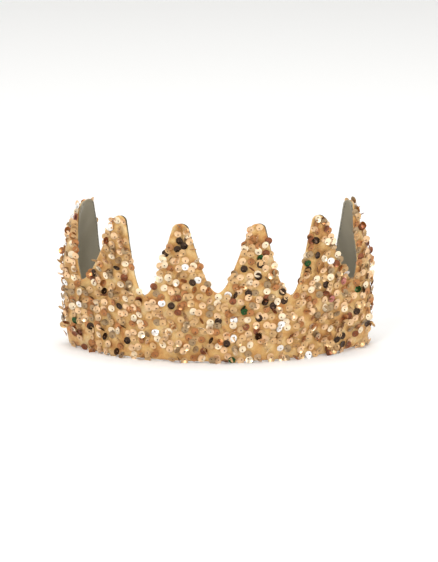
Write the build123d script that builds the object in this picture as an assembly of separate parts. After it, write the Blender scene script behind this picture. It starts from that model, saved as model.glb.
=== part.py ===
from build123d import *
import math
import os

# A child's dress-up crown: six rounded points on a band, gold sequin cloth over a stiff inner board,
# a satin lining and a flat elastic that closes the back. It stands on its bottom edge.
# +X is the wearer's left as seen from the front, -Y the front, +Z up. Millimetres and degrees.
# The wall is laid out along a plan curve: s is the distance along it from the middle of the front,
# and out is the distance outwards from the middle of the board.

# Plan curve
FRONT_RADIUS = 146.0        # gentle bow of the front
FRONT_HALF = 111.0          # half of the length of that bow
CORNER_RADIUS = 8.0         # tight bend at each side
WING_ANGLE = 136.0          # direction of each wing, turned from the +X direction
WALL_HALF = 158.0           # from the middle of the front to the end of a wing

# Points and the valleys between them, on one half
VALLEYS = (0.0, 50.5, 100.0)
VALLEY_HEIGHTS = (47.5, 43.8, 48.5)
TIPS = (25.6, 70.2, 126.5)
TIP_HEIGHTS = (95.0, 97.5, 100.5)
END_HEIGHT = 44.0           # of the wall at the end of a wing
TIP_HALF_WIDTHS = (4.8, 4.8, 3.4)
TIP_SHOULDER = 0.7          # share of that half width where a tip starts to round off
TIP_DROP = 0.9              # how far the edge has dropped there
FLANK_SHARE = 0.75          # of the room beside a tip that the point's straight flank takes up
END_FLANK_SHARE = 0.98      # the same for the last point, whose flanks bulge
END_FLANK_POWERS = (0.55, 0.78)  # of its front and rear flanks, where lower is a fuller bulge
VALLEY_POWER = 7            # higher is a flatter valley with tighter corners
FLANK_SHARES = (0.1, 0.25, 0.45, 0.65, 0.82, 0.93)  # of the way down a flank, where the edge is fixed
BAND_TOP = 47.5             # sequins below this belong to the band, those above it to the points

# Layers of the wall
BOARD = 1.4
CLOTH = 0.5
LINING = 0.4
LAYER_GAP = 0.3
BOARD_INSET = 1.2           # how far the board stops short of the sewn edge
LINING_INSET = 0.4
FLEX_GAP = 1.8              # between two boards, at the flex line
HEM_CLEAR = 0.3             # cloth and lining stop this far above the resting edge

# Cup sequins and the stitch through each
SEQUIN_D = 4.6
SEQUIN_FLAT_D = 3.2         # of the flat middle, inside the sloping rim
SEQUIN_HOLE_D = 1.0
SEQUIN_HOLE_OFF = 0.95      # from a sequin's middle down to the middle of its hole
SEQUIN_CUP = 0.4            # height of the cup
SEQUIN_SHEET = 0.16
SEQUIN_PITCH = 5.3
SEQUIN_ROW = 4.7
SEQUIN_CLEAR = 0.1          # between a cup and the cloth
SEQUIN_EDGE = 2.4           # from a sequin's middle to the cloth's edge
SEQUIN_TOP_ROOM = 2.4       # from a sequin's middle up to the cloth's edge
SEQUIN_FROM_HEM = 0.1       # between the lowest row and the hem
SEW_THREAD_D = 0.5
SEW_THREAD_LENGTH = 0.55
THREAD_CLEAR = 0.02         # between a thread and the cloth or lining

# Elastic and its bar tacks
ELASTIC_WIDTH = 20.0
ELASTIC_THICK = 1.1
ELASTIC_Z = 4.0
ELASTIC_LAP = 14.0          # length sewn to each wing
ELASTIC_BEND = 6.0
TACK_WIDTH = 1.4
TACK_THICK = 0.5
TACK_SPACING = 7.0
TACK_FROM_END = 2.5         # from the end of the elastic to the middle of the first tack
TACK_MARGIN = 1.5           # above and below a tack
TACK_CLEAR = 0.05

# Stitches that close the lining along the points
STITCH_D = 0.4
STITCH_LENGTH = 2.2
STITCH_PITCH = 4.0
STITCH_FROM_EDGE = 1.3

BOARD_OUT = BOARD / 2
CLOTH_IN = BOARD_OUT + LAYER_GAP
CLOTH_OUT = CLOTH_IN + CLOTH
LINING_OUT = -BOARD_OUT - LAYER_GAP
LINING_IN = LINING_OUT - LINING
FLEX = VALLEYS[2]           # the flex lines run down from the outer valleys
ALL_VALLEYS = tuple(-v for v in VALLEYS[:0:-1]) + VALLEYS
ALL_TIPS = tuple(-t for t in TIPS[::-1]) + TIPS
ALL_LOWS = (-WALL_HALF,) + ALL_VALLEYS + (WALL_HALF,)
LOWS = VALLEYS + (WALL_HALF,)
LOW_HEIGHTS = VALLEY_HEIGHTS + (END_HEIGHT,)
CUT_OVERLAP = 2.4           # how far the cuts on both sides of a tip run past its middle
CUT_DEPTH = 45.0            # how far a cutter reaches each way from the wall
CUT_ABOVE = 10.0            # how far a cutter reaches above the highest tip
CORNER_TURN = math.radians(WING_ANGLE) - FRONT_HALF / FRONT_RADIUS
CORNER_END = FRONT_HALF + CORNER_RADIUS * CORNER_TURN


def heading(s):
    """Direction of the plan curve at s, in radians from +X."""
    a = abs(s)
    if a <= FRONT_HALF:
        turn = a / FRONT_RADIUS
    elif a <= CORNER_END:
        turn = FRONT_HALF / FRONT_RADIUS + (a - FRONT_HALF) / CORNER_RADIUS
    else:
        turn = math.radians(WING_ANGLE)
    return math.copysign(turn, s)


def curve_xy(a):
    """The plan curve's point at a distance a of 0 or more, measured from the middle of the front."""
    front = min(a, FRONT_HALF) / FRONT_RADIUS
    x = FRONT_RADIUS * math.sin(front)
    y = FRONT_RADIUS * (1 - math.cos(front))
    if a > FRONT_HALF:
        turn = heading(min(a, CORNER_END))
        x += CORNER_RADIUS * (math.sin(turn) - math.sin(front))
        y += CORNER_RADIUS * (math.cos(front) - math.cos(turn))
    if a > CORNER_END:
        x += (a - CORNER_END) * math.cos(math.radians(WING_ANGLE))
        y += (a - CORNER_END) * math.sin(math.radians(WING_ANGLE))
    return x, y


# The base is centred on the origin: the frontmost sequin and the wing ends are equally far from it.
FRONT_REACH = CLOTH_OUT + SEQUIN_CLEAR + SEQUIN_CUP
BACK_REACH = curve_xy(WALL_HALF)[1] - CLOTH_OUT * math.cos(math.radians(WING_ANGLE))
SHIFT_Y = (FRONT_REACH - BACK_REACH) / 2


def place(s, out=0.0):
    """Plan position of the wall at s, out millimetres outwards."""
    x, y = curve_xy(abs(s))
    x = math.copysign(x, s) if s else 0.0
    turn = heading(s)
    return Vector(x + out * math.sin(turn), y + SHIFT_Y - out * math.cos(turn))


def tip_half_width(tip):
    return TIP_HALF_WIDTHS[TIPS.index(abs(tip))]


def half_width(share, tip, low, inset):
    """Half of a point's width towards a low, at a share of the way down from its tip."""
    room = abs(low - tip) - tip_half_width(tip)
    if abs(tip) == TIPS[-1]:
        run = END_FLANK_SHARE * room
        spread = run * share**END_FLANK_POWERS[0 if abs(low) < abs(tip) else 1]
    else:
        run = FLANK_SHARE * room
        spread = run * share
    rounding = 1 - math.sqrt(1 - share**VALLEY_POWER)
    return tip_half_width(tip) - inset + spread + (room - run) * rounding


def flank(tip, low, inset):
    """(s, z) points of the sewn edge, from the top of a tip down to just before the low beside it."""
    tip_z = TIP_HEIGHTS[TIPS.index(abs(tip))]
    low_z = LOW_HEIGHTS[LOWS.index(abs(low))]
    toward = math.copysign(1.0, low - tip)
    shoulder = (tip_half_width(tip) - inset) * TIP_SHOULDER
    top = tip_z - inset
    points = [(tip - toward * CUT_OVERLAP, top), (tip + toward * shoulder, top - TIP_DROP)]
    for share in FLANK_SHARES:
        reach = half_width(share, tip, low, inset)
        points.append((tip + toward * reach, tip_z - share * (tip_z - low_z)))
    return points


def edge_height(s):
    """Height of the sewn edge above the base at s."""
    a = min(abs(s), WALL_HALF)
    k = max(i for i, valley in enumerate(VALLEYS) if valley <= a)
    tip, tip_z = TIPS[k], TIP_HEIGHTS[k]
    near = k if a < tip else k + 1
    high, low = 0.0, 1.0
    for _ in range(30):
        share = (high + low) / 2
        if half_width(share, tip, LOWS[near], 0.0) < abs(a - tip):
            high = share
        else:
            low = share
    return tip_z - low * (tip_z - LOW_HEIGHTS[near])


def notch_points(valley, inset):
    """(s, z) points of the sewn edge around one valley, from tip to tip."""
    before = max(t for t in ALL_TIPS if t < valley)
    after = min(t for t in ALL_TIPS if t > valley)
    bottom = (valley, VALLEY_HEIGHTS[VALLEYS.index(abs(valley))] - inset)
    return flank(before, valley, inset) + [bottom] + flank(after, valley, inset)[::-1]


def cutter(points, middle):
    """Solid that removes what is above the edge through these points, cut straight through the wall."""
    ends = heading(points[0][0]), heading(points[-1][0])
    along = (ends[0] + ends[1]) / 2
    origin = place(middle)
    plane = Plane(origin=(origin.X, origin.Y, 0), x_dir=(math.cos(along), math.sin(along), 0),
                  z_dir=(math.sin(along), -math.cos(along), 0))
    flat = []
    for s, z in points:
        step = place(s) - origin
        flat.append((step.X * math.cos(along) + step.Y * math.sin(along), z))
    top = max(TIP_HEIGHTS) + CUT_ABOVE
    edge = Spline(*flat)
    rest = Polyline(flat[-1], (flat[-1][0], top), (flat[0][0], top), flat[0])
    return extrude(plane * make_face(Wire([edge] + rest.edges())), amount=CUT_DEPTH, both=True)


def wall(start, end, inner, outer, bottom, inset):
    """The wall from s = start to end, between two distances outwards, cut to the crown's outline."""
    breaks = [-CORNER_END, -FRONT_HALF, FRONT_HALF, CORNER_END]
    stations = [start] + [b for b in breaks if start < b < end] + [end]
    edges = []
    for out in (inner, outer):
        for a, b in zip(stations, stations[1:]):
            if abs(a + b) / 2 > CORNER_END:
                edges.append(Line(place(a, out), place(b, out)))
            else:
                edges.append(ThreePointArc(place(a, out), place((a + b) / 2, out), place(b, out)))
    edges += [Line(place(s, inner), place(s, outer)) for s in (start, end)]
    top = max(TIP_HEIGHTS) - inset
    solid = Pos(0, 0, bottom) * extrude(make_face(edges), amount=top - bottom)
    for valley in ALL_VALLEYS:
        if start - VALLEYS[1] < valley < end + VALLEYS[1]:
            solid -= cutter(notch_points(valley, inset), valley)
    for side in (-1, 1):
        if start < side * TIPS[-1] < end:
            slope = flank(side * TIPS[-1], side * WALL_HALF, inset)
            slope.append((side * (WALL_HALF + 1), END_HEIGHT - inset))
            solid -= cutter(sorted(slope), side * WALL_HALF)
    return solid


def board(start, end):
    return wall(start, end, -BOARD_OUT, BOARD_OUT, 0.0, BOARD_INSET)


def on_wall(s, z, out):
    """Plane on the wall, its x axis along the wall and its z axis pointing outwards."""
    spot = place(s, out)
    turn = heading(s)
    return Plane(origin=(spot.X, spot.Y, z), x_dir=(math.cos(turn), math.sin(turn), 0),
                 z_dir=(math.sin(turn), -math.cos(turn), 0))


def cup():
    """One cup sequin: a shallow dish with a hole below its middle, opening outwards along +Z."""
    flat, rim = SEQUIN_FLAT_D / 2, SEQUIN_D / 2
    profile = Polyline((0, 0, 0), (flat, 0, 0), (rim, 0, SEQUIN_CUP - SEQUIN_SHEET), (rim, 0, SEQUIN_CUP),
                       (flat, 0, SEQUIN_SHEET), (0, 0, SEQUIN_SHEET), (0, 0, 0))
    hole = Pos(0, -SEQUIN_HOLE_OFF, 0) * Cylinder(SEQUIN_HOLE_D / 2, 2 * SEQUIN_CUP)
    return revolve(make_face(profile), axis=Axis.Z) - hole


def sequin_spots(start, end):
    """(s, z) of the sequins between two distances along the wall, in staggered rows."""
    spots = []
    rows = int(max(TIP_HEIGHTS) / SEQUIN_ROW)
    for row in range(rows):
        z = SEQUIN_D / 2 + HEM_CLEAR + SEQUIN_FROM_HEM + row * SEQUIN_ROW
        first = math.ceil(start / SEQUIN_PITCH - 0.5)
        last = math.floor(end / SEQUIN_PITCH + 0.5)
        for column in range(first, last + 1):
            s = (column + 0.5 * (row % 2)) * SEQUIN_PITCH
            inside = start + SEQUIN_EDGE <= s <= end - SEQUIN_EDGE
            room = min(edge_height(s + d) for d in (-SEQUIN_EDGE, 0, SEQUIN_EDGE))
            if inside and z + SEQUIN_TOP_ROOM <= room:
                spots.append((s, z))
    return spots


def sequins(start, end, low, high):
    """The sequins of one region, as a group of separate cups."""
    one = cup()
    spots = [(s, z) for s, z in sequin_spots(start, end) if low <= z < high]
    return Compound(children=[on_wall(s, z, CLOTH_OUT + SEQUIN_CLEAR) * one for s, z in spots])


def sewing_threads(start, end):
    """The stitch through the hole of each sequin, as a group of separate threads."""
    out = CLOTH_OUT + THREAD_CLEAR + SEW_THREAD_LENGTH / 2
    one = Cylinder(SEW_THREAD_D / 2, SEW_THREAD_LENGTH)
    spots = sequin_spots(start, end)
    return Compound(children=[on_wall(s, z - SEQUIN_HOLE_OFF, out) * one for s, z in spots])


def edge_stitches(start, end):
    """Short stitches that close the lining just inside the sewn edge, as a group of threads."""
    thread = Rot(0, 90, 0) * Cylinder(STITCH_D / 2, STITCH_LENGTH)
    out = LINING_IN - STITCH_D / 2 - THREAD_CLEAR
    stitches = []
    edges = [notch_points(valley, STITCH_FROM_EDGE) for valley in ALL_VALLEYS]
    edges += [flank(side * TIPS[-1], side * WALL_HALF, STITCH_FROM_EDGE) for side in (-1, 1)]
    for points in edges:
        path = Spline(*points)
        count = int(path.length / STITCH_PITCH)
        for k in range(1, count):
            spot = path.position_at(k / count)
            tangent = path.tangent_at(k / count)
            if start < spot.X < end:
                tilt = math.degrees(math.atan2(tangent.Y, tangent.X))
                stitches.append(on_wall(spot.X, spot.Y, out) * Rot(0, 0, tilt) * thread)
    return Compound(children=stitches)


def elastic():
    """Flat elastic across the back, its two ends lying along the insides of the wings."""
    lap_out = LINING_IN - TACK_CLEAR - ELASTIC_THICK / 2
    corner, end = place(WALL_HALF, lap_out), place(WALL_HALF - ELASTIC_LAP, lap_out)
    path = FilletPolyline((-end.X, end.Y), (-corner.X, corner.Y), (corner.X, corner.Y), (end.X, end.Y),
                          radius=ELASTIC_BEND)
    strip = trace(path, line_width=ELASTIC_THICK)
    return Pos(0, 0, ELASTIC_Z) * extrude(strip, amount=ELASTIC_WIDTH)


def bar_tacks(side):
    """Two dense bars of stitching through one end of the elastic, lining and wing."""
    out = LINING_IN - 2 * TACK_CLEAR - ELASTIC_THICK - TACK_THICK / 2
    bars = []
    for k in (0, 1):
        s = side * (WALL_HALF - ELASTIC_LAP + TACK_FROM_END + k * TACK_SPACING)
        bar = Box(TACK_WIDTH, ELASTIC_WIDTH - 2 * TACK_MARGIN, TACK_THICK)
        bars.append(on_wall(s, ELASTIC_Z + ELASTIC_WIDTH / 2, out) * bar)
    return Compound(children=bars)


def write(name, shape):
    export_step(shape, f"parts/{name}.step")


def main():
    os.makedirs("parts", exist_ok=True)
    half_gap = FLEX_GAP / 2
    write("front_board", board(-FLEX + half_gap, FLEX - half_gap))
    write("left_board", board(-WALL_HALF + BOARD_INSET, -FLEX - half_gap))
    write("right_board", board(FLEX + half_gap, WALL_HALF - BOARD_INSET))
    write("sequin_cloth", wall(-WALL_HALF, WALL_HALF, CLOTH_IN, CLOTH_OUT, HEM_CLEAR, 0.0))
    write("lining", wall(-WALL_HALF, WALL_HALF, LINING_IN, LINING_OUT, HEM_CLEAR, LINING_INSET))
    write("back_elastic", elastic())
    for name, side in (("left", -1), ("right", 1)):
        write(f"{name}_bar_tacks", bar_tacks(side))
    regions = {"left": (-WALL_HALF, -FLEX), "front": (-FLEX, FLEX), "right": (FLEX, WALL_HALF)}
    for name, (start, end) in regions.items():
        write(f"{name}_band_sequins", sequins(start, end, 0, BAND_TOP))
        write(f"{name}_sewing_threads", sewing_threads(start, end))
        write(f"{name}_edge_stitches", edge_stitches(start + half_gap + STITCH_LENGTH / 2,
                                                     end - half_gap - STITCH_LENGTH / 2))
    for number, tip in enumerate(ALL_TIPS, 1):
        low = max(v for v in ALL_LOWS if v < tip)
        high = min(v for v in ALL_LOWS if v > tip)
        write(f"point_{number}_sequins", sequins(low, high, BAND_TOP, max(TIP_HEIGHTS)))


main()
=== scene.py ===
import math
import random

import bpy
import bmesh
from mathutils import Matrix, Vector, noise


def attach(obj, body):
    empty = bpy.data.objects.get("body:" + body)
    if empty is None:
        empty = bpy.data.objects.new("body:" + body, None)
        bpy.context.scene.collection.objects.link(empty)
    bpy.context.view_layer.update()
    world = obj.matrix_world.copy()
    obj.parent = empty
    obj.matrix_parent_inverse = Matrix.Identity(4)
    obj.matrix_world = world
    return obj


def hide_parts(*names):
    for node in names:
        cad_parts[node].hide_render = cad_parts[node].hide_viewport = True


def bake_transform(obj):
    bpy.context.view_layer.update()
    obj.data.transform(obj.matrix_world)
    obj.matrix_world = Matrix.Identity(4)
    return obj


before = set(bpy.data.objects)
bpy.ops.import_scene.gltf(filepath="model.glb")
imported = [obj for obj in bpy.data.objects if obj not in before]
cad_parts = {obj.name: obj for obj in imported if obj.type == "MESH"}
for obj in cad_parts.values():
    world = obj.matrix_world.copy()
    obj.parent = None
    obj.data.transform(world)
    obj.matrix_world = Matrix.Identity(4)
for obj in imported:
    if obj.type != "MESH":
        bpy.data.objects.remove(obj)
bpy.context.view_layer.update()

# The look of a child's sequin dress-up crown. Lengths are in millimetres until a mesh is made.
# s is the distance along the wall from the middle of the front, z the height, out the distance outwards.
MM = 0.001
rng = random.Random(71)

# ---------------------------------------------------------------- plan curve and outline
# As in the CAD, except that the four middle tips are narrower, and that the tips curl and lean.
FRONT_RADIUS = 146.0
FRONT_HALF = 111.0
CORNER_RADIUS = 8.0
WING_ANGLE = math.radians(136)
WALL_HALF = 158.0
FLEX = 100.0               # where the wings bend outwards
LOWS = (-WALL_HALF, -FLEX, -50.5, 0.0, 50.5, FLEX, WALL_HALF)
LOW_HEIGHTS = (44.0, 48.5, 43.8, 47.5, 43.8, 48.5, 44.0)
TIPS = (-126.5, -70.2, -25.6, 25.6, 70.2, 126.5)
TIP_HEIGHTS = (100.5, 97.5, 95.0, 95.0, 97.5, 100.5)
TIP_HALF_WIDTHS = (3.4, 3.6, 4.2, 4.2, 3.6, 3.4)
TIP_CAP = 3.0              # height over which a tip rounds off
FLANK_SHARE = 0.75         # of the room beside a tip that the point's straight flank takes up
END_FLANK_SHARE = 0.98     # the same for the end points, whose flanks bulge
END_FLANK_POWERS = (0.55, 0.78)   # of their front and rear flanks, where lower is a fuller bulge
VALLEY_POWER = 7           # higher is a flatter valley with tighter corners
BAND_TOP = 47.5            # sequins above this belong to the points
FRONT_Y = -37.26           # the wall's middle at the middle of the front
CURL_Z = 58.0              # the end points curl in towards each other above this height
CURL_SLOPE = 0.34          # of the part that leans in, above the bend
CURL_BEND = 8.0            # height of the bend
CURL_WAY = Vector((-0.92, -0.39))      # in plan, for the right end point
LEANS = (0.0, 2.0, 0.0, 1.2, 0.0, -4.0)     # how far each tip leans along the wall
LEAN_Z = 52.0              # height where the lean begins
TUCK = 2.8                 # how far the hem is drawn in at the two sides
TUCK_Z = 26.0              # height where that ends
HELD = 146.0               # beyond this distance along the wall the elastic holds it flat

# ---------------------------------------------------------------- layers
CLOTH_OUT = 1.45           # outer faces of the cloth and of the lining, from the wall's middle
LINING_OUT = -1.35
SHEET = 0.35               # thickness of the drawn cloth and lining
EDGE_ROUND = 1.9           # how far from the sewn edge the two skins come together
HEM_Z = -0.5
HEM_ROUND = 1.4            # the same at the hem
FLOOR_Z = -1.2             # low enough for sequins to hang past the hem
LINING_Z = 0.9             # bottom of the lining and the boards
LINING_SLIP = 1.3          # how far the lining has slipped sideways in the points
BOARD_OUT = 0.55           # half of the board's thickness
BOARD_INSET = 1.8          # from the sewn edge to the board
BOARD_GAP = 1.0            # on each side of a flex line
COLUMNS = 30               # of faces across each point
POINT_ROWS = 46
BAND_ROWS = 26
BLEND_REACH = 8.0          # on each side of a flex line, where cloth bends

# ---------------------------------------------------------------- sequins, threads and elastic
SEQUIN_R = 2.5
SEQUIN_HOLE_R = 0.5
SEQUIN_HOLE_OFF = 0.95     # from a sequin's middle to the middle of its hole
ON_EDGE = math.radians(40)             # sequins tilted further than this stand on edge
CUP_RISE = 0.46            # height of the rim above the middle
CUP_FILM = 0.08            # thickness of a sequin's film
CUP_RINGS = (0.0, 0.35, 0.72, 1.0)     # from the rim of the hole to the outer rim
CUP_SEGMENTS = 18
LINE_PITCH = 5.3           # between the lines of sequins up the wall
HEM_PITCH = 5.2            # between those along the hem
HANG_SPREAD = math.radians(50)         # of the sequins' turn about their stitches
LEAN_SPREAD = math.radians(35)         # of the way that they lean
HEM_BARE = 9.0             # below this height fewer sequins are sewn on
HEM_SHARE = 0.6            # of the stitches there that carry one
FLANK_PITCH = 4.6          # between the sequins along a point's edge
FREE_HEM = 4.0             # below this height sequins hang any way round
TURNED = (102.0, 121.0)    # where sequins on the end points stand out and face forwards
EDGE_STEPS = 120           # points along a flank, for stitches and sequins set beside it
STRAY_THREADS = 16
STITCH_PITCH = 3.0
STITCH_LENGTH = 1.9
STITCH_INSET = 1.4
STITCH_R = 0.2
ELASTIC_Z = 4.0
ELASTIC_WIDTH = 20.0
ELASTIC_LAP = 14.0         # of its ends over the wings
ELASTIC_OUT = LINING_OUT - 0.75        # its middle, where it lies on the lining
ELASTIC_BEND = 5.0         # from its corner to where its bend begins
RIPPLE = 0.3               # how far the stretch behind the head ripples
RIPPLE_HALF = 60.0         # the ripples have faded out at this distance from the middle
RIBS = 11
RIB_RISE = 0.32
RIB_FLOOR = 0.25           # half of the elastic's thickness between two ribs
TACK_OUT = ELASTIC_OUT - 0.62          # on the elastic's inner face
TACK_TURNS = 34            # stitches in one row of a bar tack
TACK_STARTS = (4.0, 10.5)  # of the two rows, from the elastic's end
TACK_HALF = 0.9            # half of a zigzag's width
TACK_MARGIN = 1.5          # from the elastic's edges
TACK_R = 0.19

# ---------------------------------------------------------------- textures and camera
WAVE_UNIT = math.pi / 10   # scale of a wave texture whose bands are one unit apart
ELEVATION = math.radians(15)
DISTANCE = 3.53            # of the camera, in metres
FRAME_WIDTH = 0.2978       # what it takes in at that distance, in metres
TARGET = Vector((0.0009, -0.0032, 0.0467))

FRONT_TURN = FRONT_HALF / FRONT_RADIUS
CORNER_END = FRONT_HALF + CORNER_RADIUS * (WING_ANGLE - FRONT_TURN)


def heading(s):
    """Direction of the wall at s, turned from +X."""
    a = abs(s)
    if a <= FRONT_HALF:
        turn = a / FRONT_RADIUS
    else:
        turn = min(WING_ANGLE, FRONT_TURN + (a - FRONT_HALF) / CORNER_RADIUS)
    return math.copysign(turn, s)


def plan(s):
    """The wall's middle at s, in plan."""
    a = abs(s)
    front = min(a, FRONT_HALF) / FRONT_RADIUS
    x = FRONT_RADIUS * math.sin(front)
    y = FRONT_RADIUS * (1 - math.cos(front))
    if a > FRONT_HALF:
        turn = heading(min(a, CORNER_END))
        x += CORNER_RADIUS * (math.sin(turn) - math.sin(front))
        y += CORNER_RADIUS * (math.cos(front) - math.cos(turn))
    beyond = max(0.0, a - CORNER_END)
    x += beyond * math.cos(WING_ANGLE)
    y += beyond * math.sin(WING_ANGLE)
    return math.copysign(x, s), y + FRONT_Y


def ease(value, start, end):
    """0 at the start, 1 at the end, and a smooth step between them."""
    t = min(1.0, max(0.0, (value - start) / (end - start)))
    return t * t * (3 - 2 * t)


def wobble(s, z):
    """How far hand sewing leaves the wall in or out of its plan at (s, z)."""
    share = min(1.0, max(0.0, z) / BAND_TOP)
    slow = noise.noise(Vector((s / 34, z / 60, 3.1))) * 1.5
    quick = noise.noise(Vector((s / 9, z / 12, 8.7))) * 0.35
    waves = (slow + quick) * (0.35 + 0.65 * share) * (1 - ease(abs(s), HELD - 10, HELD))
    sides = ease(abs(s), 78, 104) * (1 - ease(abs(s), 124, HELD - 4))
    return waves - sides * TUCK * max(0.0, 1 - z / TUCK_Z) ** 2


def curl(s, z):
    """How far an end point has curled in at (s, z)."""
    above = max(0.0, z - CURL_Z)
    return ease(abs(s), 96, 104) * CURL_SLOPE * above * above / (above + CURL_BEND)


def on_wall(s, z, out):
    """A point of the wall in metres."""
    tooth = tooth_at(s)
    s += LEANS[tooth] * ease(z, LEAN_Z, TIP_HEIGHTS[tooth])
    x, y = plan(s)
    turn = heading(s)
    reach = out + wobble(s, z)
    bent = curl(s, z)
    x += reach * math.sin(turn) + math.copysign(bent, s) * CURL_WAY.x
    y += -reach * math.cos(turn) + bent * CURL_WAY.y
    return Vector((x, y, z)) * MM


def wall_axes(s, z):
    """Unit vectors of the wall at (s, z): along it, up it and out of it."""
    step = 0.6
    along = (on_wall(s + step, z, 0) - on_wall(s - step, z, 0)).normalized()
    up = (on_wall(s, z + step, 0) - on_wall(s, z - step, 0)).normalized()
    out = along.cross(up).normalized()
    return along, out.cross(along), out


def tooth_at(s):
    """Number of the point that s belongs to."""
    return max(k for k in range(len(TIPS)) if LOWS[k] <= s or k == 0)


def low_beside(tooth, side):
    """(s, height) of the low on one side of a point."""
    k = tooth if side < 0 else tooth + 1
    return LOWS[k], LOW_HEIGHTS[k]


def base_height(tooth, u):
    """Height of the line between the two lows of a point, for u from -1 to 1."""
    return LOW_HEIGHTS[tooth] + (LOW_HEIGHTS[tooth + 1] - LOW_HEIGHTS[tooth]) * (u + 1) / 2


def half_width(tooth, side, share, inset=0.0):
    """Half of a point's width, on one side, at a share of the way down from its tip."""
    low, low_z = low_beside(tooth, side)
    room = abs(low - TIPS[tooth]) - TIP_HALF_WIDTHS[tooth]
    share = min(1.0, max(0.0, share))
    if tooth in (0, len(TIPS) - 1):
        run = END_FLANK_SHARE * room
        spread = run * share**END_FLANK_POWERS[0 if abs(low) < abs(TIPS[tooth]) else 1]
    else:
        run = FLANK_SHARE * room
        spread = run * share
    rounding = 1 - math.sqrt(1 - share**VALLEY_POWER)
    width = TIP_HALF_WIDTHS[tooth] - inset + spread + (room - run) * rounding
    below_tip = share * (TIP_HEIGHTS[tooth] - low_z)
    return max(0.02, width * rounded(below_tip, TIP_CAP))


def rounded(distance, radius):
    """0 on an edge, 1 at a radius or more from it, along a quarter circle."""
    if distance >= radius:
        return 1.0
    return math.sqrt(max(0.0, 1 - (1 - max(0.0, distance) / radius) ** 2))


def edge_factor(tooth, s, z, share, side, bottom=HEM_Z):
    """How fully a skin stands away from the middle of the wall near the sewn edges."""
    low, low_z = low_beside(tooth, side)
    if share < 1:
        step = 0.01
        here = half_width(tooth, side, share)
        slope = half_width(tooth, side, share + step) - half_width(tooth, side, share - step)
        slope /= 2 * step * (TIP_HEIGHTS[tooth] - low_z)
        gap = (here - abs(s - TIPS[tooth])) / math.sqrt(1 + slope * slope)
    else:
        gap = math.hypot(s - low, low_z - z) if abs(low) < WALL_HALF else EDGE_ROUND
    factor = rounded(gap, EDGE_ROUND) * rounded(z - bottom, HEM_ROUND)
    return factor * rounded(WALL_HALF - abs(s), EDGE_ROUND)


def wall_grid(tooth, bottom, inset, lowest, highest):
    """Rows of (s, z, share, side) over one point and the band below it, from the tip to the hem."""
    columns = [math.sin(math.pi / 2 * (2 * k / COLUMNS - 1)) for k in range(COLUMNS + 1)]
    top = TIP_HEIGHTS[tooth] - inset
    grid = []
    for k in range(POINT_ROWS + 1):
        share = (1 - math.cos(math.pi * k / POINT_ROWS)) / 2
        row = []
        for u in columns:
            side = -1 if u < 0 else 1
            s = TIPS[tooth] + u * half_width(tooth, side, share, inset)
            z = top - share * (top - base_height(tooth, u) + inset)
            row.append((min(highest, max(lowest, s)), z, share, side))
        grid.append(row)
    base = grid[-1]
    for k in range(1, BAND_ROWS + 1):
        fall = k / BAND_ROWS
        fall -= math.sin(2 * math.pi * fall) / (4 * math.pi)
        grid.append([(s, z + (bottom - z) * fall, 1.0, side) for s, z, _, side in base])
    return grid


def wall_mesh(name, teeth, outer, inner, bottom=HEM_Z, inset=0.0, gap=0.0, slip=0.0):
    """A layer of the wall over several points, from one distance outwards to another.

    It is a closed shell with a UV map in metres. Without an inset, its sewn edges close in to the
    middle of the wall. A slip moves the points sideways, and leaves the band where it is.
    """
    bm = bmesh.new()
    uv = bm.loops.layers.uv.new("Cloth")
    skins, faces, walked = {}, [], set()
    lowest, highest = LOWS[teeth[0]] + gap, LOWS[teeth[-1] + 1] - gap
    core = inner if abs(inner) < abs(outer) else outer
    for tooth in teeth:
        keys = []
        for row in wall_grid(tooth, bottom, inset, lowest, highest):
            line = []
            for s, z, share, side in row:
                key = (round(s, 3), round(z, 3))
                if key not in skins:
                    near = 1.0 if inset else edge_factor(tooth, s, z, share, side, bottom)
                    drop = core * (1 - near)
                    moved = s + slip * (1 - rounded(share, 1.0)) if slip else s
                    skins[key] = [bm.verts.new(on_wall(moved, z, out - drop)) for out in (outer, inner)]
                line.append(key)
            keys.append(line)
        for upper, lower in zip(keys, keys[1:]):
            for k in range(COLUMNS):
                corners = list(dict.fromkeys((lower[k], lower[k + 1], upper[k + 1], upper[k])))
                if len(corners) > 2:
                    faces.append(corners)

    def skin_face(corners):
        add_face(bm, uv, [(skins[key][skin], (key[0] * MM, key[1] * MM)) for key, skin in corners])

    for corners in faces:
        skin_face([(key, 0) for key in corners])
        skin_face([(key, 1) for key in reversed(corners)])
        walked.update(zip(corners, corners[1:] + corners[:1]))
    for a, b in sorted(walked):
        if (b, a) not in walked:
            skin_face([(b, 0), (a, 0), (a, 1), (b, 1)])
    return finish_mesh(name, bm)


def add_face(bm, uv, corners):
    """A face through (vertex, place in the UV map) corners."""
    face = bm.faces.new([vert for vert, _ in corners])
    for loop, (_, spot) in zip(face.loops, corners):
        loop[uv].uv = spot


def finish_mesh(name, bm, sharp=math.radians(50)):
    """Turns a bmesh into an object with smooth faces, sharp at its corners."""
    bmesh.ops.recalc_face_normals(bm, faces=bm.faces)
    mesh = bpy.data.meshes.new(name)
    bm.to_mesh(mesh)
    bm.free()
    for polygon in mesh.polygons:
        polygon.use_smooth = True
    mesh.set_sharp_from_angle(angle=sharp)
    obj = bpy.data.objects.new(name, mesh)
    bpy.context.scene.collection.objects.link(obj)
    return obj


# ---------------------------------------------------------------- materials
def new_material(name):
    """An empty material, its node tree and its shader."""
    material = bpy.data.materials.new(name)
    material.use_nodes = True
    tree = material.node_tree
    return material, tree, tree.nodes["Principled BSDF"]


def add(tree, kind, **settings):
    node = tree.nodes.new(kind)
    for key, value in settings.items():
        setattr(node, key, value)
    return node


def object_place(tree):
    return add(tree, "ShaderNodeTexCoord").outputs["Object"]


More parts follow.
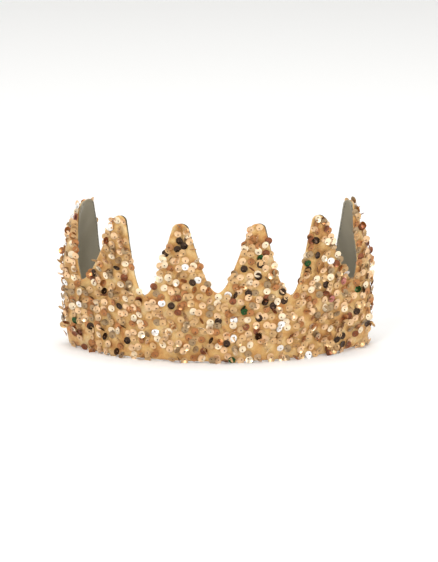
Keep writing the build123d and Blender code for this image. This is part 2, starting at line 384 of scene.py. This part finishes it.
def noise_node(tree, scale, detail=2.0, source=None):
    node = add(tree, "ShaderNodeTexNoise")
    node.inputs["Scale"].default_value = scale
    node.inputs["Detail"].default_value = detail
    if source:
        tree.links.new(source, node.inputs["Vector"])
    return node


def ramp(tree, source, stops):
    """Colours from the (place, colour) stops of a ramp."""
    node = tree.nodes.new("ShaderNodeValToRGB")
    elements = node.color_ramp.elements
    while len(elements) < len(stops):
        elements.new(0.5)
    for element, (place, colour) in zip(elements, stops):
        element.position = place
        element.color = (*colour, 1)
    tree.links.new(source, node.inputs["Fac"])
    return node.outputs["Color"]


def multiply(tree, first, second):
    """The product of two colours."""
    node = add(tree, "ShaderNodeMix", data_type="RGBA", blend_type="MULTIPLY")
    node.inputs["Factor"].default_value = 1.0
    tree.links.new(first, node.inputs["A"])
    tree.links.new(second, node.inputs["B"])
    return node.outputs["Result"]


def vary_roughness(tree, shader, source, low, high):
    node = add(tree, "ShaderNodeMapRange")
    node.inputs["To Min"].default_value = low
    node.inputs["To Max"].default_value = high
    tree.links.new(source, node.inputs["Value"])
    tree.links.new(node.outputs["Result"], shader.inputs["Roughness"])


def bump(tree, shader, sources, strength, distance):
    """Adds a bump from the sum of several height outputs."""
    total = sources[0]
    for source in sources[1:]:
        node = add(tree, "ShaderNodeMath", operation="ADD")
        tree.links.new(total, node.inputs[0])
        tree.links.new(source, node.inputs[1])
        total = node.outputs[0]
    node = tree.nodes.new("ShaderNodeBump")
    node.inputs["Strength"].default_value = strength
    node.inputs["Distance"].default_value = distance
    tree.links.new(total, node.inputs["Height"])
    tree.links.new(node.outputs["Normal"], shader.inputs["Normal"])


def weave(tree, pitch):
    """Heights of a plain weave with threads a pitch apart, in the cloth's own UV map."""
    uv = add(tree, "ShaderNodeUVMap", uv_map="Cloth")
    waves = []
    for direction in ("X", "Y"):
        wave = add(tree, "ShaderNodeTexWave", wave_type="BANDS", bands_direction=direction)
        wave.inputs["Scale"].default_value = WAVE_UNIT / pitch
        wave.inputs["Distortion"].default_value = 0.6
        wave.inputs["Detail Scale"].default_value = 2.0
        tree.links.new(uv.outputs["UV"], wave.inputs["Vector"])
        waves.append(wave.outputs["Fac"])
    return waves


def cloth_material():
    """Woven gold cloth with fine specks and a mottled tone whose darker orange-brown patches are painted
    shadow and painted coloured reflection from the sequins.
    """
    material, tree, shader = new_material("gold_cloth")
    place = object_place(tree)
    # painted shade: the darker orange-brown stops stand in for the shadows and coloured reflections that
    # the sequins cast on the cloth
    mottle_and_sequin_shade = noise_node(tree, 130, 3.0, place)
    colours = ramp(tree, mottle_and_sequin_shade.outputs["Fac"],
                   [(0.30, (0.53, 0.21, 0.052)), (0.43, (0.72, 0.39, 0.12)),
                    (0.56, (0.83, 0.53, 0.20)), (0.70, (0.89, 0.65, 0.33))])
    fine = noise_node(tree, 1700, 4.0, place)
    speck = ramp(tree, fine.outputs["Fac"], [(0.3, (0.80, 0.76, 0.70)), (0.7, (1.0, 1.0, 1.0))])
    tree.links.new(multiply(tree, colours, speck), shader.inputs["Base Color"])
    vary_roughness(tree, shader, fine.outputs["Fac"], 0.55, 0.85)
    shader.inputs["Sheen Weight"].default_value = 0.35
    shader.inputs["Sheen Roughness"].default_value = 0.4
    bump(tree, shader, [fine.outputs["Fac"], *weave(tree, 0.00045)], 0.5, 0.00025)
    return material


def lining_material():
    """Grey-olive satin, with the light and shade of soft upright folds painted into its colour as lighter
    and darker bands.
    """
    material, tree, shader = new_material("grey_satin")
    place = object_place(tree)
    tall = add(tree, "ShaderNodeMapping")
    tall.inputs["Scale"].default_value = (1.0, 1.0, 0.3)
    tree.links.new(place, tall.inputs["Vector"])
    # painted shade: upright bands of lighter and darker colour stand in for the light and shade on the
    # satin's folds
    fold_shade = noise_node(tree, 55, 2.0, tall.outputs["Vector"])
    colours = ramp(tree, fold_shade.outputs["Fac"],
                   [(0.3, (0.205, 0.175, 0.112)), (0.7, (0.298, 0.256, 0.168))])
    fine = noise_node(tree, 2500, 2.0, place)
    grain = ramp(tree, fine.outputs["Fac"], [(0.35, (0.90, 0.90, 0.90)), (0.65, (1.0, 1.0, 1.0))])
    tree.links.new(multiply(tree, colours, grain), shader.inputs["Base Color"])
    vary_roughness(tree, shader, fine.outputs["Fac"], 0.38, 0.55)
    shader.inputs["Sheen Weight"].default_value = 0.25
    bump(tree, shader, weave(tree, 0.0003), 0.12, 0.0001)
    return material


def thread_material(name, dark, light):
    """Twisted thread between two colours."""
    material, tree, shader = new_material(name)
    place = object_place(tree)
    twist = noise_node(tree, 1400, 3.0, place)
    colours = ramp(tree, twist.outputs["Fac"], [(0.3, dark), (0.7, light)])
    tree.links.new(colours, shader.inputs["Base Color"])
    shader.inputs["Roughness"].default_value = 0.6
    shader.inputs["Sheen Weight"].default_value = 0.3
    bump(tree, shader, [twist.outputs["Fac"]], 0.4, 0.0001)
    return material


def elastic_material():
    """Knitted elastic: ribs along it, with painted shade in the grooves between them and lighter colour
    on their crests, and rows of fine stitches across them.
    """
    material, tree, shader = new_material("elastic_knit")
    uv = add(tree, "ShaderNodeUVMap", uv_map="Cloth")
    ribs = add(tree, "ShaderNodeTexWave", wave_type="BANDS", bands_direction="Y")
    ribs.inputs["Scale"].default_value = WAVE_UNIT / (ELASTIC_WIDTH / RIBS * MM)
    rows = add(tree, "ShaderNodeTexWave", wave_type="BANDS", bands_direction="X")
    rows.inputs["Scale"].default_value = WAVE_UNIT / 0.0008
    rows.inputs["Distortion"].default_value = 0.8
    for wave in (ribs, rows):
        tree.links.new(uv.outputs["UV"], wave.inputs["Vector"])
    # painted shade: the colour darkens in the grooves between the ribs and lightens on their crests
    colours = ramp(tree, ribs.outputs["Fac"],
                   [(0.0, (0.07, 0.064, 0.05)), (0.35, (0.20, 0.183, 0.145)), (1.0, (0.29, 0.265, 0.21))])
    tree.links.new(colours, shader.inputs["Base Color"])
    shader.inputs["Roughness"].default_value = 0.7
    shader.inputs["Sheen Weight"].default_value = 0.3
    bump(tree, shader, [rows.outputs["Fac"]], 0.5, 0.0002)
    return material


def board_material():
    """Stiff pale felt."""
    material, tree, shader = new_material("stiff_felt")
    place = object_place(tree)
    felt = noise_node(tree, 900, 5.0, place)
    colours = ramp(tree, felt.outputs["Fac"], [(0.3, (0.68, 0.65, 0.58)), (0.7, (0.82, 0.80, 0.74))])
    tree.links.new(colours, shader.inputs["Base Color"])
    shader.inputs["Roughness"].default_value = 0.9
    bump(tree, shader, [felt.outputs["Fac"]], 0.5, 0.0003)
    return material


# The sequins are all one rose-gold film: these tones are lit and shaded copies of it, painted highlight
# in the paler ones and painted shade and dark reflection in the darker ones.
# name, share of the sequins, their share in the patches of painted shade, base colour, metallic,
# roughness
CUP_TONES_AND_PAINTED_SHADE = (
    ("sequin_peach", 0.28, 0.14, (0.82, 0.54, 0.30), 0.75, 0.30),
    ("sequin_cream", 0.16, 0.07, (0.92, 0.74, 0.51), 0.65, 0.30),
    ("sequin_glint", 0.045, 0.02, (0.98, 0.94, 0.88), 0.40, 0.26),
    ("sequin_tan", 0.21, 0.23, (0.64, 0.395, 0.175), 0.50, 0.32),
    ("sequin_painted_cloth_reflection", 0.06, 0.18, (0.44, 0.185, 0.062), 0.85, 0.31),
    ("sequin_painted_deep_shade", 0.02, 0.12, (0.24, 0.075, 0.028), 0.85, 0.30),
    ("sequin_painted_dark_reflection", 0.025, 0.065, (0.045, 0.022, 0.010), 0.90, 0.24),
    ("sequin_olive", 0.10, 0.08, (0.37, 0.245, 0.125), 0.60, 0.32),
    ("sequin_rose", 0.010, 0.006, (0.48, 0.17, 0.14), 0.75, 0.34),
    ("sequin_green", 0.006, 0.006, (0.012, 0.075, 0.013), 0.80, 0.32),
)


def cup_material(name, colour, metallic, roughness):
    """Metallised film: its colour drifts a little from cup to cup, and a clear film lies over it."""
    material, tree, shader = new_material(name)
    place = object_place(tree)
    drift = noise_node(tree, 240, 1.0, place)
    dark = tuple(0.86 * c for c in colour)
    light = tuple(min(1.0, 1.10 * c + 0.01) for c in colour)
    colours = ramp(tree, drift.outputs["Fac"], [(0.35, dark), (0.65, light)])
    tree.links.new(colours, shader.inputs["Base Color"])
    shader.inputs["Metallic"].default_value = metallic
    shader.inputs["Roughness"].default_value = roughness
    shader.inputs["Coat Weight"].default_value = 0.15
    shader.inputs["Coat Roughness"].default_value = 0.1
    return material


GOLD_CLOTH = cloth_material()
SATIN = lining_material()
FELT = board_material()
SEAM_THREAD = thread_material("seam_thread", (0.03, 0.027, 0.02), (0.12, 0.108, 0.085))
# partly painted shade: this dark brown is the sewing thread's and also stands in for the shade inside the
# sequins' holes
SEW_THREAD = thread_material("sewing_thread", (0.05, 0.02, 0.008), (0.17, 0.08, 0.035))
ELASTIC_KNIT = elastic_material()
CUP_MATERIALS = [cup_material(name, *finish) for name, _, _, *finish in CUP_TONES_AND_PAINTED_SHADE]


def dress(obj, material, slot, *nodes):
    """Gives a piece its material and hides the CAD nodes that it stands for; its slot is not used."""
    if material:
        obj.data.materials.append(material)
    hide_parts(*nodes)
    return obj


def metres(x, y, z):
    return (x * MM, y * MM, z * MM)


def bend_over_flex(obj, side):
    """Bakes the placement of a piece of cloth into its mesh, without bending it over the flex line."""
    x, y = plan(side * (FLEX - BLEND_REACH))
    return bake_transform(obj)


# ---------------------------------------------------------------- skins and boards
SIDES = (("left", -1, "left_side", (0, 1, 2)), ("right", 1, "right_side", (3, 4, 5)))


for side_name, side, body, teeth in SIDES:
    cloth = wall_mesh(f"{side_name}_sequin_cloth", teeth, CLOTH_OUT, CLOTH_OUT - SHEET)
    dress(cloth, GOLD_CLOTH, "gold_cloth", "sequin_cloth")
    bend_over_flex(cloth, side)
    satin = wall_mesh(f"{side_name}_lining", teeth, LINING_OUT + SHEET, LINING_OUT, LINING_Z,
                      slip=LINING_SLIP)
    dress(satin, SATIN, "grey_lining", "lining")
    bend_over_flex(satin, side)

for name, teeth, body in (("front_board", (1, 2, 3, 4), "front"), ("left_board", (0,), "left_side"),
                          ("right_board", (5,), "right_side")):
    felt = wall_mesh(f"{name}_felt", teeth, BOARD_OUT, -BOARD_OUT, LINING_Z, BOARD_INSET, BOARD_GAP)
    dress(felt, FELT, "board", name)
    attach(felt, body)


# ---------------------------------------------------------------- sequins
def edge_line(tooth, side, inset):
    """(s, z) points an inset inside one flank of a point, from tip to valley."""
    line = []
    low_z = low_beside(tooth, side)[1]
    top = TIP_HEIGHTS[tooth] - inset / 2
    for k in range(EDGE_STEPS + 1):
        share = 0.03 + 0.93 * k / EDGE_STEPS
        width = half_width(tooth, side, share) - inset
        line.append((TIPS[tooth] + side * max(0.3, width), top - share * (top - low_z + inset / 2)))
    return line


def spaced(line, pitch):
    """(s, z, direction) at even steps along a line of points."""
    found, left = [], pitch / 2
    for (s0, z0), (s1, z1) in zip(line, line[1:]):
        run = math.hypot(s1 - s0, z1 - z0)
        while left <= run and run > 0:
            share = left / run
            found.append((s0 + (s1 - s0) * share, z0 + (z1 - z0) * share, math.atan2(z1 - z0, s1 - s0)))
            left += pitch
        left -= run
    return found


def on_point(s, z):
    """The point that (s, z) belongs to, the side of its tip, and the share of the way down from it."""
    tooth = tooth_at(s)
    side = -1 if s < TIPS[tooth] else 1
    return tooth, side, (TIP_HEIGHTS[tooth] - z) / (TIP_HEIGHTS[tooth] - low_beside(tooth, side)[1])


def inside_outline(s, z, margin):
    """True if (s, z) lies on the cloth, at least a margin from its sewn edge."""
    if z < HEM_Z + margin or abs(s) > WALL_HALF - margin:
        return False
    tooth, side, share = on_point(s, z)
    if z <= low_beside(tooth, side)[1] - margin:
        return True
    return share > 0 and abs(s - TIPS[tooth]) <= half_width(tooth, side, share) - margin


def cup_spots():
    """(s, z) of every stitch that holds a sequin, in wandering lines up the wall."""
    spots = []
    lines = int(WALL_HALF / LINE_PITCH)
    for line in range(-lines, lines + 1):
        z = rng.uniform(0.6, 3.2)
        wander = rng.uniform(0, 100)
        while z < max(TIP_HEIGHTS):
            s = line * LINE_PITCH + 2.4 * noise.noise(Vector((wander, z / 9, 0))) + rng.uniform(-1.2, 1.2)
            sewn = z > HEM_BARE or rng.random() < HEM_SHARE
            if sewn and inside_outline(s, z, rng.choice((0.2, 0.4, 0.7, 1.0))):
                spots.append((s, z))
            steps = (2.2, 3.2) if rng.random() < 0.28 else (4.0, 6.2)
            z += rng.uniform(*steps)
    return spots + edge_spots()


def edge_spots():
    """Stitches of the sequins that hang past the hem and past the points' edges."""
    spots = []
    steps = int(WALL_HALF / HEM_PITCH)
    for k in range(-steps, steps + 1):
        if rng.random() < HEM_SHARE:
            spots.append((k * HEM_PITCH + rng.uniform(-1.2, 1.2), rng.uniform(0.4, 1.4)))
    for tooth in range(len(TIPS)):
        for side in (-1, 1):
            for s, z, _ in spaced(edge_line(tooth, side, rng.uniform(0.5, 0.8)), FLANK_PITCH):
                share = 0.95 if TURNED[0] < abs(s) < TURNED[1] else 0.55
                if rng.random() < share and abs(s) < WALL_HALF - 2:
                    spots.append((s, z))
    return spots


def add_cup(bm, place, material_index):
    """One sequin: a dished disc of thin film with a hole towards one side, which is its origin."""
    front, back = [], []
    for share in CUP_RINGS:
        radius = SEQUIN_HOLE_R + (SEQUIN_R - SEQUIN_HOLE_R) * share
        middle = SEQUIN_HOLE_OFF * share
        for rings, lift in ((front, CUP_FILM), (back, 0.0)):
            ring = []
            for k in range(CUP_SEGMENTS):
                angle = 2 * math.pi * k / CUP_SEGMENTS
                x, y = radius * math.cos(angle), middle + radius * math.sin(angle)
                rise = CUP_RISE * (math.hypot(x, y - SEQUIN_HOLE_OFF) / SEQUIN_R) ** 2
                ring.append(bm.verts.new(place @ (Vector((x, y, rise + lift)) * MM)))
            rings.append(ring)
    strips = [*zip(front, front[1:]), *((b, a) for a, b in zip(back, back[1:]))]
    strips += [(front[-1], back[-1]), (back[0], front[0])]
    for inner, outer in strips:
        for k in range(CUP_SEGMENTS):
            n = (k + 1) % CUP_SEGMENTS
            face = bm.faces.new((inner[k], outer[k], outer[n], inner[n]))
            face.material_index = material_index


def tube(bm, points, radius, sides=6):
    """A closed tube of thread through points in metres."""
    rings = []
    for k, point in enumerate(points):
        ahead = points[min(k + 1, len(points) - 1)] - points[max(k - 1, 0)]
        across = ahead.cross(Vector((0.31, 0.47, 0.83))).normalized()
        up = ahead.cross(across).normalized()
        ring = []
        for j in range(sides):
            angle = 2 * math.pi * j / sides
            spot = point + (across * math.cos(angle) + up * math.sin(angle)) * radius * MM
            ring.append(bm.verts.new(spot))
        rings.append(ring)
    for lower, upper in zip(rings, rings[1:]):
        for j in range(sides):
            n = (j + 1) % sides
            bm.faces.new((lower[j], lower[n], upper[n], upper[j]))
    bm.faces.new(rings[0][::-1])
    bm.faces.new(rings[-1])


def add_knot(bm, place):
    """The stitch through a cup's hole: a short rounded bead of dark thread, whose darkness also stands in
    for the shade inside the hole.
    """
    segments, radius = 6, 0.42
    rings = []
    for share, lift in ((0.9, -0.25), (1.0, 0.12), (0.7, 0.3)):
        ring = []
        for k in range(segments):
            angle = 2 * math.pi * k / segments
            spot = Vector((radius * share * math.cos(angle), radius * share * math.sin(angle), lift)) * MM
            ring.append(bm.verts.new(place @ spot))
        rings.append(ring)
    for lower, upper in zip(rings, rings[1:]):
        for k in range(segments):
            n = (k + 1) % segments
            bm.faces.new((lower[k], lower[n], upper[n], upper[k]))
    bm.faces.new(rings[-1])
    bm.faces.new(rings[0][::-1])


def cup_place(s, z, tilt):
    """Where a sequin lies: its hole on the stitch, hanging at any angle but mostly pushed upwards."""
    tooth, side, share = on_point(s, z)
    free = z < FREE_HEM or rng.random() < 0.2
    hang = rng.uniform(-math.pi, math.pi) if free else rng.gauss(0, HANG_SPREAD)
    lean = rng.gauss(0, LEAN_SPREAD)
    swing = 0.0
    if TURNED[0] < abs(s) < TURNED[1] and z > BAND_TOP and rng.random() < 0.7:
        swing = heading(s) * rng.uniform(0.25, 0.55)
    stand = CLOTH_OUT * edge_factor(tooth, s, z, min(1.0, share), side)
    stand += 0.1 + (SEQUIN_R - SEQUIN_HOLE_OFF) * math.sin(max(tilt, abs(swing))) * 0.8
    basis = Matrix(wall_axes(s, z)).transposed().to_4x4()
    forwards = Matrix.Rotation(-swing, 4, "Z")
    turned = Matrix.Rotation(hang, 4, "Z")
    tilted = Matrix.Rotation(tilt, 4, Vector((math.cos(lean), math.sin(lean), 0)))
    return Matrix.Translation(on_wall(s, z, stand)) @ forwards @ basis @ turned @ tilted


def cup_tilt():
    """How far a sequin stands up from the cloth: most lie nearly flat and a few stand on edge."""
    if rng.random() < 0.17:
        return rng.uniform(ON_EDGE, math.radians(82))
    return min(ON_EDGE, math.radians(5 + abs(rng.gauss(0, 13))))


def cup_kind(s, z, tilt):
    """Number of a sequin's tone: darker tones paint shade in noise patches and on cups that stand on
    edge.
    """
    shade = 0.4 + 1.6 * noise.noise(Vector((s / 13, z / 11, 5.5)))
    if tilt > ON_EDGE:
        shade += 0.8
    shade = min(1.0, max(0.0, shade))
    weights = [lit + (shaded - lit) * shade for _, lit, shaded, *_ in CUP_TONES_AND_PAINTED_SHADE]
    return rng.choices(range(len(CUP_TONES_AND_PAINTED_SHADE)), weights)[0]


def cup_region(s, z):
    """Name of the piece that a sequin belongs to."""
    if abs(abs(s) - FLEX) < BLEND_REACH:
        return "right_flex_sequins" if s > 0 else "left_flex_sequins"
    if z < BAND_TOP:
        band = "front" if abs(s) < FLEX else "right" if s > 0 else "left"
        return f"{band}_band_sequins"
    return f"point_{tooth_at(s) + 1}_sequins"


def thread_region(region):
    """Name of the piece that holds the threads of a group of sequins."""
    if "flex" in region:
        return region.replace("sequins", "sewing_threads")
    ends = {"left_band_sequins": "left", "point_1_sequins": "left",
            "right_band_sequins": "right", "point_6_sequins": "right"}
    return ends.get(region, "front") + "_sewing_threads"


def body_of_region(region):
    if region.startswith("left") or region == "point_1_sequins":
        return "left_side"
    if region.startswith("right") or region == "point_6_sequins":
        return "right_side"
    return "front"


def stray_thread(bm, s, z, side):
    """A loose end of sewing thread that sticks out past a point's edge."""
    length, rise, sag = rng.uniform(1.5, 4.0), rng.uniform(-0.6, 1.0), rng.uniform(-0.6, 0.6)
    points = []
    for k in range(7):
        t = k / 6
        reach = side * (t * length - 0.8)
        points.append(on_wall(s + reach, z + rise * t * length + sag * t * t * 2, 0.9))
    tube(bm, points, 0.06, sides=5)


def sew_sequins():
    """All the sequins and the threads that hold them, as one piece for each part of the crown."""
    cups, knots = {}, {}
    for s, z in cup_spots():
        region = cup_region(s, z)
        tilt = cup_tilt()
        place = cup_place(s, z, tilt)
        add_cup(cups.setdefault(region, bmesh.new()), place, cup_kind(s, z, tilt))
        add_knot(knots.setdefault(thread_region(region), bmesh.new()), place)
    for _ in range(STRAY_THREADS):
        tooth = rng.randrange(1, len(TIPS) - 1)
        side = rng.choice((-1, 1))
        share = rng.uniform(0.1, 0.95)
        s = TIPS[tooth] + side * half_width(tooth, side, share)
        z = TIP_HEIGHTS[tooth] - share * (TIP_HEIGHTS[tooth] - low_beside(tooth, side)[1])
        if abs(abs(s) - FLEX) > BLEND_REACH:
            stray_thread(knots["front_sewing_threads"], s, z, side)
    for region, bm in sorted(cups.items()):
        piece = finish_mesh(region, bm, math.radians(40))
        for material in CUP_MATERIALS:
            piece.data.materials.append(material)
        nodes = [] if "flex" in region else [region]
        settle(dress(piece, None, "gold_sequins", *nodes), region)
    for region, bm in sorted(knots.items()):
        nodes = [] if "flex" in region else [region]
        settle(dress(finish_mesh(region, bm), SEW_THREAD, "thread", *nodes), region)


def settle(piece, region):
    """Puts a group of sequins or threads on its body, or, at a flex line, bakes its placement into its
    mesh without bending it.
    """
    piece.name = f"{region}_sewn"
    body = body_of_region(region)
    if "flex" in region:
        bend_over_flex(piece, 1 if body == "right_side" else -1)
    else:
        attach(piece, body)


sew_sequins()


# ---------------------------------------------------------------- threads and elastic
def sew_edges():
    """The stitches that close the lining along the points' edges."""
    groups = {}
    for tooth in range(len(TIPS)):
        body = "left" if tooth == 0 else "right" if tooth == len(TIPS) - 1 else "front"
        bm = groups.setdefault(body, bmesh.new())
        for side in (-1, 1):
            for s, z, direction in spaced(edge_line(tooth, side, STITCH_INSET), STITCH_PITCH):
                if abs(abs(s) - FLEX) < 2.5:
                    continue
                points = []
                for k in range(5):
                    t = k / 4 - 0.5
                    reach = LINING_OUT + 0.14 - 0.26 * math.cos(math.pi * t)
                    ds = t * STITCH_LENGTH * math.cos(direction)
                    dz = t * STITCH_LENGTH * math.sin(direction)
                    points.append(on_wall(s + ds, z + dz, reach))
                tube(bm, points, STITCH_R)
    for name, bm in groups.items():
        node = f"{name}_edge_stitches"
        piece = dress(finish_mesh(f"{node}_sewn", bm), SEAM_THREAD, "thread", node)
        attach(piece, "front" if name == "front" else f"{name}_side")


sew_edges()


def elastic_line(side):
    """Plan points of half of the elastic, from the middle of the back to its end inside a wing."""
    inwards = Vector((math.sin(WING_ANGLE), -math.cos(WING_ANGLE))) * ELASTIC_OUT
    corner = Vector(plan(WALL_HALF - 1.5)) + inwards
    tip = Vector(plan(WALL_HALF - ELASTIC_LAP)) + inwards
    before = corner - Vector((ELASTIC_BEND, 0))
    after = corner + (tip - corner).normalized() * ELASTIC_BEND
    points = [Vector((before.x * k / 50, corner.y)) for k in range(51)]
    for k in range(1, 12):
        t = k / 12
        points.append(before.lerp(corner, t).lerp(corner.lerp(after, t), t))
    points += [after.lerp(tip, k / 10) for k in range(11)]
    return [Vector((side * p.x, p.y)) for p in points]


def elastic_half(name, side):
    """Half of the knitted elastic, ribbed along it and slightly rippled, and the half's length."""
    bm = bmesh.new()
    uv = bm.loops.layers.uv.new("Cloth")
    line = elastic_line(side)
    samples = RIBS * 6
    rows, travelled = [], 0.0
    for k, point in enumerate(line):
        ahead = line[min(k + 1, len(line) - 1)] - line[max(k - 1, 0)]
        across = Vector((-ahead.y, ahead.x)).normalized()
        if k:
            travelled += (point - line[k - 1]).length
        fade = min(1.0, max(0.0, (RIPPLE_HALF - abs(point.x)) / 8))
        ripple = RIPPLE * fade * math.sin(travelled * 1.35)
        face, rear = [], []
        for j in range(samples + 1):
            share = j / samples
            rib = RIB_RISE * abs(math.sin(math.pi * RIBS * share))
            edge = rounded(min(share, 1 - share) * ELASTIC_WIDTH, 0.6)
            z = ELASTIC_Z + ELASTIC_WIDTH * share
            for skin, way in ((face, 1), (rear, -1)):
                off = across * (way * (RIB_FLOOR + rib) * edge + ripple)
                vert = bm.verts.new(metres(point.x + off.x, point.y + off.y, z))
                skin.append((vert, (travelled * MM, (z - ELASTIC_Z) * MM)))
        rows.append((face, rear))
    for (face0, rear0), (face1, rear1) in zip(rows, rows[1:]):
        for j in range(samples):
            add_face(bm, uv, (face0[j], face1[j], face1[j + 1], face0[j + 1]))
            add_face(bm, uv, (rear0[j], rear0[j + 1], rear1[j + 1], rear1[j]))
        for j in (0, samples):
            add_face(bm, uv, (face0[j], rear0[j], rear1[j], face1[j]))
    for face, rear in (rows[0], rows[-1]):
        for j in range(samples):
            add_face(bm, uv, (face[j], face[j + 1], rear[j + 1], rear[j]))
    return finish_mesh(name, bm, math.radians(60)), travelled


for side_name, side, body, _ in SIDES:
    band, length = elastic_half(f"{side_name}_elastic", side)
    dress(band, ELASTIC_KNIT, "elastic", "back_elastic")
    end = plan(WALL_HALF)
    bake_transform(band)


def bar_tack(name, side):
    """Two zigzags of thread that hold one end of the elastic."""
    bm = bmesh.new()
    for start in TACK_STARTS:
        middle = WALL_HALF - ELASTIC_LAP + start
        points = []
        for k in range(TACK_TURNS + 1):
            s = side * (middle + (TACK_HALF if k % 2 else -TACK_HALF))
            z = ELASTIC_Z + TACK_MARGIN + (ELASTIC_WIDTH - 2 * TACK_MARGIN) * k / TACK_TURNS
            x, y = plan(s)
            turn = heading(s)
            points.append(Vector((x + TACK_OUT * math.sin(turn), y - TACK_OUT * math.cos(turn), z)) * MM)
        tube(bm, points, TACK_R)
    return finish_mesh(name, bm)


for side_name, side, body, _ in SIDES:
    node = f"{side_name}_bar_tacks"
    tack = dress(bar_tack(f"{node}_sewn", side), SEAM_THREAD, "thread", node)
    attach(tack, body)


# ---------------------------------------------------------------- floor, light and camera
def floor():
    """A plain pale floor."""
    bm = bmesh.new()
    bmesh.ops.create_grid(bm, x_segments=1, y_segments=1, size=6.0)
    obj = finish_mesh("floor", bm)
    obj.location.z = FLOOR_Z * MM
    material, tree, shader = new_material("pale_floor")
    shader.inputs["Base Color"].default_value = (0.93, 0.93, 0.92, 1)
    shader.inputs["Roughness"].default_value = 0.9
    shader.inputs["Specular IOR Level"].default_value = 0.1
    obj.data.materials.append(material)


def area_light(name, place, target, size, power, colour=(1, 1, 1)):
    data = bpy.data.lights.new(name, "AREA")
    data.shape = "RECTANGLE"
    data.size, data.size_y = size
    data.energy = power
    data.color = colour
    obj = bpy.data.objects.new(name, data)
    obj.location = place
    obj.rotation_euler = (Vector(target) - Vector(place)).to_track_quat("-Z", "Y").to_euler()
    bpy.context.scene.collection.objects.link(obj)


def studio():
    """Soft light from three sides, in a room whose panels show as highlights on the sequins."""
    world = bpy.data.worlds.new("studio")
    world.use_nodes = True
    tree = world.node_tree
    background = tree.nodes["Background"]
    way = add(tree, "ShaderNodeTexCoord").outputs["Generated"]
    panels = noise_node(tree, 2.2, 1.0, way)
    shades = ramp(tree, panels.outputs["Fac"],
                  [(0.40, (0.10, 0.085, 0.07)), (0.46, (0.75, 0.74, 0.72)), (0.62, (1.0, 1.0, 1.0))])
    tree.links.new(shades, background.inputs["Color"])
    background.inputs["Strength"].default_value = 0.62
    bpy.context.scene.world = world
    middle = (0, 0, 0.05)
    area_light("key", (-0.9, -1.5, 1.5), middle, (0.9, 0.9), 22)
    area_light("fill", (1.3, -1.2, 0.9), middle, (0.7, 0.9), 12)
    area_light("top", (0, 0.3, 1.6), middle, (1.4, 1.0), 16)


def camera():
    """A long lens a little above the crown, looking along +Y."""
    data = bpy.data.cameras.new("camera")
    obj = bpy.data.objects.new("camera", data)
    away = Vector((0, -math.cos(ELEVATION), math.sin(ELEVATION)))
    obj.location = TARGET + away * DISTANCE
    obj.rotation_euler = (-away).to_track_quat("-Z", "Y").to_euler()
    data.sensor_fit = "HORIZONTAL"
    data.sensor_width = 36
    data.lens = data.sensor_width * DISTANCE / FRAME_WIDTH
    data.clip_end = 30
    bpy.context.scene.collection.objects.link(obj)
    bpy.context.scene.camera = obj


floor()
studio()
camera()
view = bpy.context.scene.view_settings
view.view_transform = "Standard"
view.look = "None"
